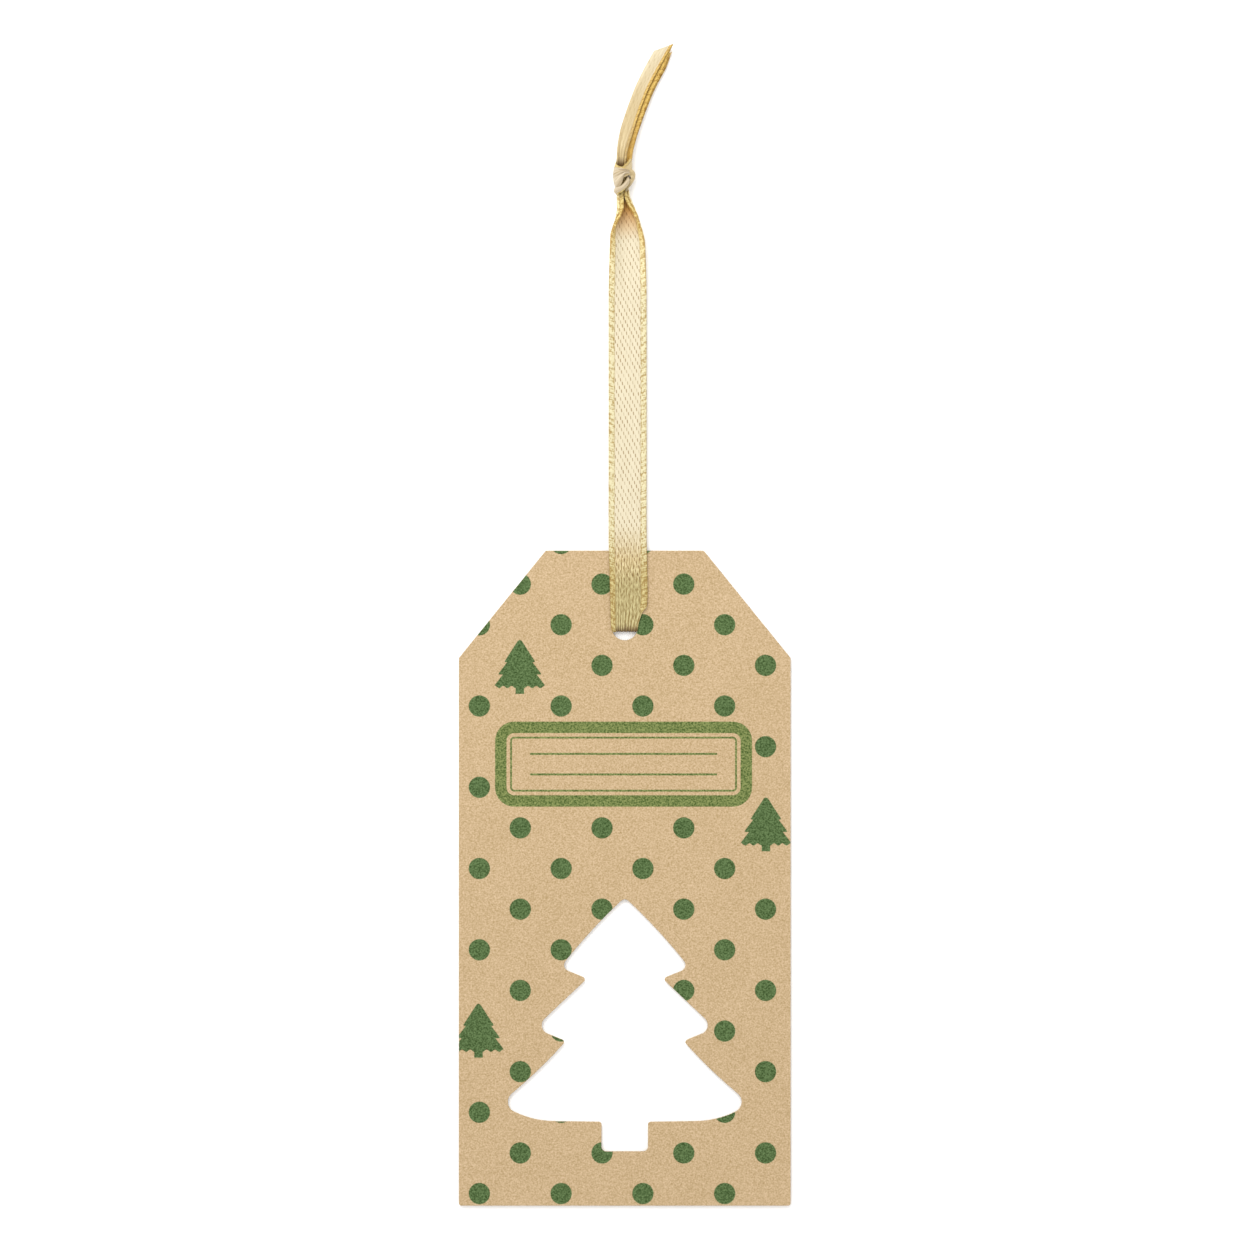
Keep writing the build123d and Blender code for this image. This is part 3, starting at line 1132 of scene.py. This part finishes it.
class GIFTTAG_OT_stage(bpy.types.Operator):
    """Set the camera, the soft light and the pale table"""

    bl_idname = "gifttag.stage"
    bl_label = "Stage"

    def execute(self, context):
        settings = context.scene.gift_tag_stage
        scene = context.scene
        scene.view_settings.view_transform = "Standard"
        camera_data = bpy.data.cameras.new("camera")
        camera_data.lens = camera_data.sensor_width * settings.camera_height / settings.view_width
        camera = bpy.data.objects.new("camera", camera_data)
        camera.location = (settings.camera_x, settings.camera_y, settings.camera_height)
        scene.collection.objects.link(camera)
        scene.camera = camera

        world = bpy.data.worlds.new("studio")
        world.use_nodes = True
        sky = world.node_tree.nodes["Background"]
        sky.inputs["Color"].default_value = WHITE
        sky.inputs["Strength"].default_value = settings.sky
        scene.world = world

        lamp_data = bpy.data.lights.new("soft_lamp", "AREA")
        lamp_data.energy = settings.key
        lamp_data.size = LAMP_SIZE
        lamp = bpy.data.objects.new("soft_lamp", lamp_data)
        lamp.location = LAMP_PLACE
        aim = Vector((settings.camera_x, settings.camera_y, 0.0)) - lamp.location
        lamp.rotation_euler = aim.to_track_quat("-Z", "Y").to_euler()
        scene.collection.objects.link(lamp)

        bm = bmesh.new()
        bmesh.ops.create_circle(bm, cap_ends=True, segments=96, radius=TABLE_RADIUS)
        table = new_piece(bm, "table")
        material, shader = new_material("pale_table")
        shader.inputs["Base Color"].default_value = tuple(settings.floor)
        shader.inputs["Roughness"].default_value = 0.9
        shader.inputs["Specular IOR Level"].default_value = 0.1
        table.data.materials.append(material)
        return {"FINISHED"}


class GIFTTAG_OT_card(bpy.types.Operator):
    """Make the printed kraft card"""

    bl_idname = "gifttag.card"
    bl_label = "Kraft card"

    def execute(self, context):
        settings = context.scene.gift_tag_card
        bm = bmesh.new()
        bm.from_mesh(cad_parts["kraft_card"].data)
        bmesh.ops.remove_doubles(bm, verts=bm.verts, dist=MERGE_DISTANCE)
        bmesh.ops.dissolve_limit(bm, angle_limit=FLAT_ANGLE, verts=bm.verts, edges=bm.edges)
        rims = []
        for edge in bm.edges:
            first, last = edge.verts
            level = abs(first.co.z - last.co.z) < RIM_LEVEL
            if level and edge.calc_face_angle(0.0) > RIM_ANGLE:
                rims.append(edge)
        bmesh.ops.bevel(
            bm,
            geom=rims,
            offset=settings.edge_round,
            offset_type="OFFSET",
            affect="EDGES",
            segments=2,
            profile=0.5,
            material=-1,
        )
        for face in bm.faces:
            face.smooth = abs(face.normal.z) < FACE_UP
        card = new_piece(bm, "card")

        # Normals kept from the CAD mesh don't fit the rounded rims
        if "custom_normal" in card.data.attributes:
            card.data.attributes.remove(card.data.attributes["custom_normal"])
        card.data.materials.clear()
        card.data.materials.append(kraft_material(settings))
        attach(card, "card")
        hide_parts("kraft_card")
        return {"FINISHED"}


class GIFTTAG_OT_knot(bpy.types.Operator):
    """Wind the turns of the knot"""

    bl_idname = "gifttag.knot"
    bl_label = "Knot"

    def execute(self, context):
        settings = context.scene.gift_tag_ribbon
        axis = Vector((KNOT_X, 0.0, KNOT_Z))
        for name, (turn, start, crown, pleats) in KNOT_TURNS.items():
            route = []
            widths = []
            for i, (degrees, y, reach, half_width) in enumerate(turn):
                angle = math.radians(degrees)
                route.append((KNOT_X + reach * math.sin(angle), y, KNOT_Z + reach * math.cos(angle)))
                widths.append((i / (len(turn) - 1), half_width))
            points = line_points(route, settings.row_step * TURN_ROW_SHARE)
            sides = []
            for point, direction in zip(points, tangents(points)):
                outward = (point - axis) * Vector((1.0, 0.0, 1.0))
                sides.append(direction.cross(outward).normalized())
            section = turn_section(widths, len(points), crown, pleats)
            bm = ribbon_strip(settings, points, sides, section, start)
            piece = finish_strip(bm, f"knot_{name}", settings)
            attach(piece, "upper_loop")
            if name == "collar":
                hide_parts("knot")
        return {"FINISHED"}


class GIFTTAG_OT_tails(bpy.types.Operator):
    """Fold the two tails above the knot"""

    bl_idname = "gifttag.tails"
    bl_label = "Tails"

    def execute(self, context):
        settings = context.scene.gift_tag_ribbon
        upward = Vector(TAIL_UP).normalized()
        for side, (route, body, cut, cut_angle, lip) in TAILS.items():
            points = line_points(route, settings.row_step)
            sides = [direction.cross(upward).normalized() for direction in tangents(points)]
            bm = ribbon_strip(settings, points, sides, folded_section(points, lip), TAIL_START)
            slant = math.radians(cut_angle)
            bmesh.ops.bisect_plane(
                bm,
                geom=bm.verts[:] + bm.edges[:] + bm.faces[:],
                dist=CUT_TOLERANCE,
                plane_co=(*cut, 0.0),
                plane_no=(-math.sin(slant), math.cos(slant), 0.0),
                clear_outer=True,
            )
            piece = finish_strip(bm, f"{side}_ribbon_tail", settings)
            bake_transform(piece)
            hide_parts(f"{side}_tail")
        return {"FINISHED"}


class GIFTTAG_OT_legs(bpy.types.Operator):
    """Lay the two halves of the ribbon from the hole to the knot"""

    bl_idname = "gifttag.legs"
    bl_label = "Ribbon"

    def execute(self, context):
        settings = context.scene.gift_tag_ribbon
        for side in TAILS:
            front = side == "front"
            lower_leg, upper_leg = build_leg(settings, side)
            lower, lower_points, lower_length = lower_leg
            upper, upper_points, upper_length = upper_leg
            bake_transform(lower)
            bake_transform(upper)
            fold = ["ribbon_fold"] if front else []
            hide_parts(f"{side}_leg_lower", f"{side}_leg_middle", *fold)
            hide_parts(f"{side}_leg_upper")
        return {"FINISHED"}


class GIFTTAG_PT_panel(bpy.types.Panel):
    """Steps that dress the gift tag"""

    bl_idname = "GIFTTAG_PT_panel"
    bl_label = "Gift Tag"
    bl_space_type = "VIEW_3D"
    bl_region_type = "UI"
    bl_category = "Gift Tag"

    def draw(self, context):
        for operator in OPERATORS:
            self.layout.operator(operator.bl_idname)


SETTINGS = (
    ("gift_tag_card", GiftTagCardSettings),
    ("gift_tag_ribbon", GiftTagRibbonSettings),
    ("gift_tag_stage", GiftTagStageSettings),
)
OPERATORS = (GIFTTAG_OT_stage, GIFTTAG_OT_card, GIFTTAG_OT_knot, GIFTTAG_OT_tails, GIFTTAG_OT_legs)


def register():
    """Adds the settings, the steps and the panel to Blender."""
    for name, group in SETTINGS:
        bpy.utils.register_class(group)
        setattr(bpy.types.Scene, name, PointerProperty(type=group))
    for operator in OPERATORS:
        bpy.utils.register_class(operator)
    bpy.utils.register_class(GIFTTAG_PT_panel)


def unregister():
    """Takes them out again."""
    bpy.utils.unregister_class(GIFTTAG_PT_panel)
    for operator in reversed(OPERATORS):
        bpy.utils.unregister_class(operator)
    for name, group in reversed(SETTINGS):
        delattr(bpy.types.Scene, name)
        bpy.utils.unregister_class(group)


def main():
    """Registers the add-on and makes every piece."""
    register()
    bpy.ops.gifttag.stage()
    bpy.ops.gifttag.card()
    bpy.ops.gifttag.knot()
    bpy.ops.gifttag.tails()
    bpy.ops.gifttag.legs()


if __name__ == "__main__":
    main()
